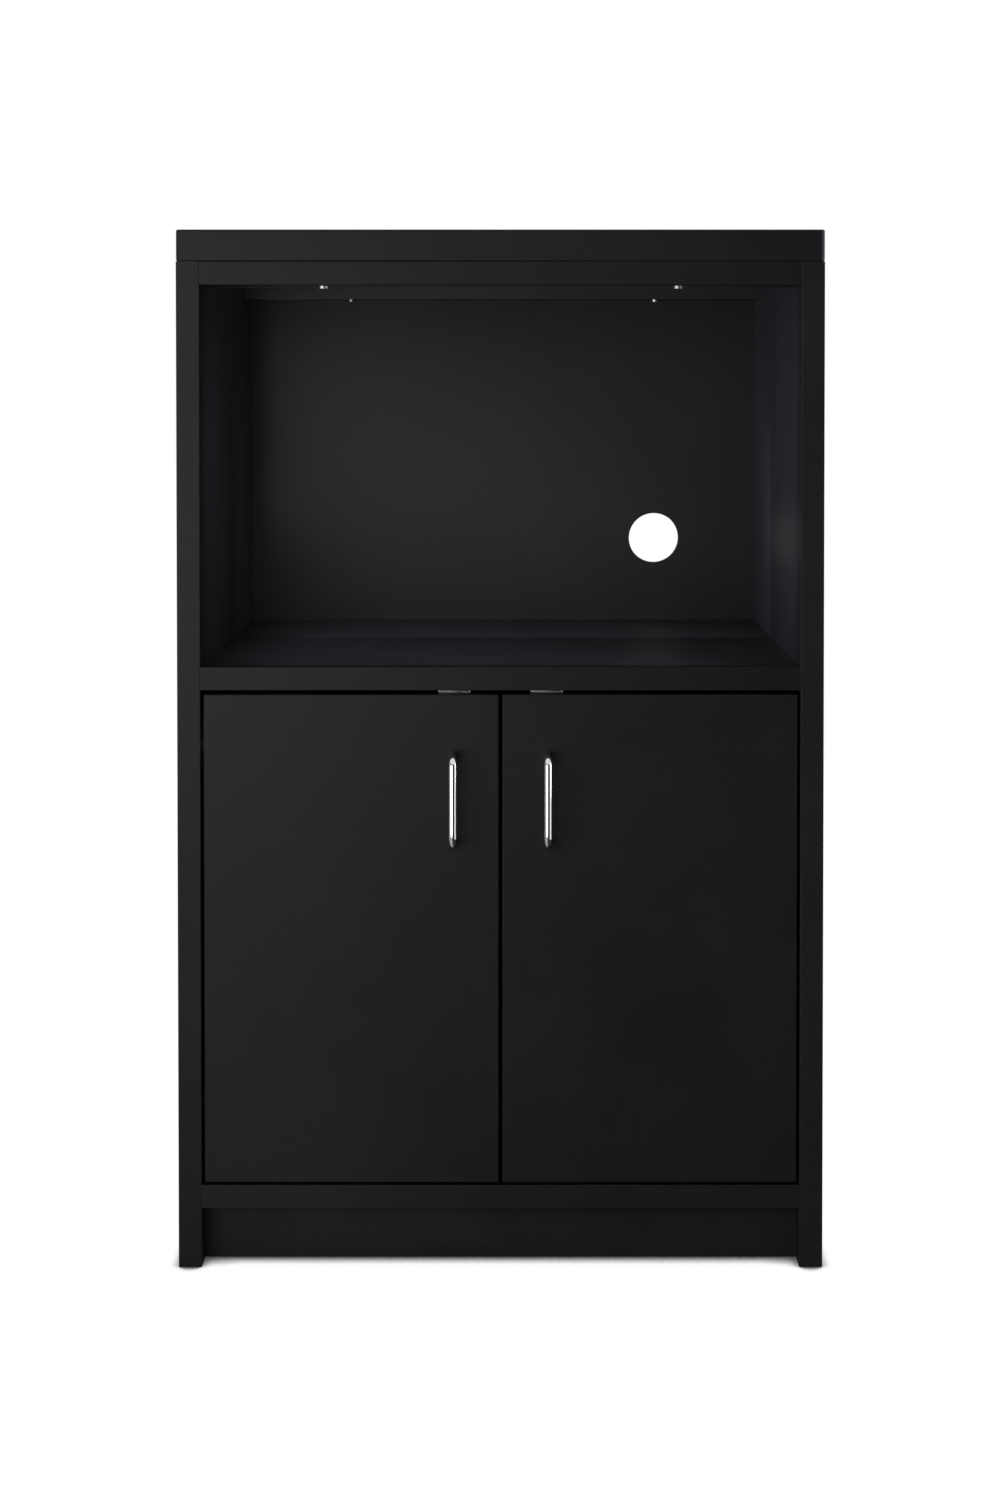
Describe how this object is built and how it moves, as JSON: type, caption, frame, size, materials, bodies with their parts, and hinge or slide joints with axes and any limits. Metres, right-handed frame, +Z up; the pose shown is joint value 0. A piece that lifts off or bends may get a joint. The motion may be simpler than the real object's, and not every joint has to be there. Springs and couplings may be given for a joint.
{
  "type": "microwave cabinet",
  "caption": "Upright black laminated cabinet with an open microwave bay above a cupboard with two inset doors, bar pulls and a recessed toe kick.",
  "frame": {"origin": "on the floor, at the centre of the footprint with the pulls counted in", "axes": "+X to the right as the user faces the cabinet, the front faces -Y, +Z up"},
  "size_m": [0.61, 0.514, 0.982],
  "materials": {
    "black_laminate": "black melamine-faced board, fine grained, satin",
    "bright_bar": "bright chrome-plated round bar",
    "beech": "plain fluted beech",
    "magnet": "dark ferrite, matt",
    "catch_case": "satin aluminium",
    "black_screw": "black zinc",
    "zinc_screw": "bright zinc",
    "pin_steel": "nickel-plated steel",
    "hinge_steel": "nickel-plated pressed steel"
  },
  "bodies": {
    "carcass": {"back_panel": "black_laminate", "back_screws": "black_screw", "back_stretcher": "black_laminate", "bottom_panel": "black_laminate", "carcass_dowels": "beech", "catch_cases": "catch_case", "catch_magnets": "magnet", "catch_poles": "hinge_steel", "catch_screws": "zinc_screw", "front_stretcher": "black_laminate", "inner_shelf": "black_laminate", "left_arm_rivets": "hinge_steel", "left_arm_screws": "zinc_screw", "left_hinge_arms": "hinge_steel", "left_hinge_plates": "hinge_steel", "left_plate_screws": "zinc_screw", "left_side": "black_laminate", "middle_shelf": "black_laminate", "right_arm_rivets": "hinge_steel", "right_arm_screws": "zinc_screw", "right_hinge_arms": "hinge_steel", "right_hinge_plates": "hinge_steel", "right_plate_screws": "zinc_screw", "right_side": "black_laminate", "shelf_pins": "pin_steel", "toe_kick": "black_laminate", "top_panel": "black_laminate", "top_screws": "zinc_screw"},
    "left_door_leaf": {"left_door": "black_laminate", "left_pull": "bright_bar", "left_pull_screws": "zinc_screw", "left_hinge_cups": "hinge_steel", "left_cup_screws": "zinc_screw", "left_cup_pins": "hinge_steel", "left_strike": "hinge_steel", "left_strike_screw": "zinc_screw"},
    "right_door_leaf": {"right_door": "black_laminate", "right_pull": "bright_bar", "right_pull_screws": "zinc_screw", "right_hinge_cups": "hinge_steel", "right_cup_screws": "zinc_screw", "right_cup_pins": "hinge_steel", "right_strike": "hinge_steel", "right_strike_screw": "zinc_screw"},
    "left_links": {"left_hinge_links": "hinge_steel"},
    "right_links": {"right_hinge_links": "hinge_steel"}
  },
  "joints": [
    {"name": "left_door_hinge", "type": "hinge", "parent": "carcass", "child": "left_door_leaf", "pos_m": [-0.2773, -0.2222, 0.3125], "axis": [0, 0, -1], "range_deg": [0, 105]},
    {"name": "left_link_turn", "type": "hinge", "parent": "left_door_leaf", "child": "left_links", "pos_m": [-0.2716, -0.2099, 0.3125], "axis": [0, 0, 1], "range_deg": [0, 155]},
    {"name": "right_door_hinge", "type": "hinge", "parent": "carcass", "child": "right_door_leaf", "pos_m": [0.2773, -0.2222, 0.3125], "axis": [0, 0, 1], "range_deg": [0, 105]},
    {"name": "right_link_turn", "type": "hinge", "parent": "right_door_leaf", "child": "right_links", "pos_m": [0.2716, -0.2099, 0.3125], "axis": [0, 0, -1], "range_deg": [0, 155]}
  ],
  "couplings": [
    {"joint": "left_link_turn", "follows": "left_door_hinge", "ratio": 1.46},
    {"joint": "right_link_turn", "follows": "right_door_hinge", "ratio": 1.46}
  ]
}
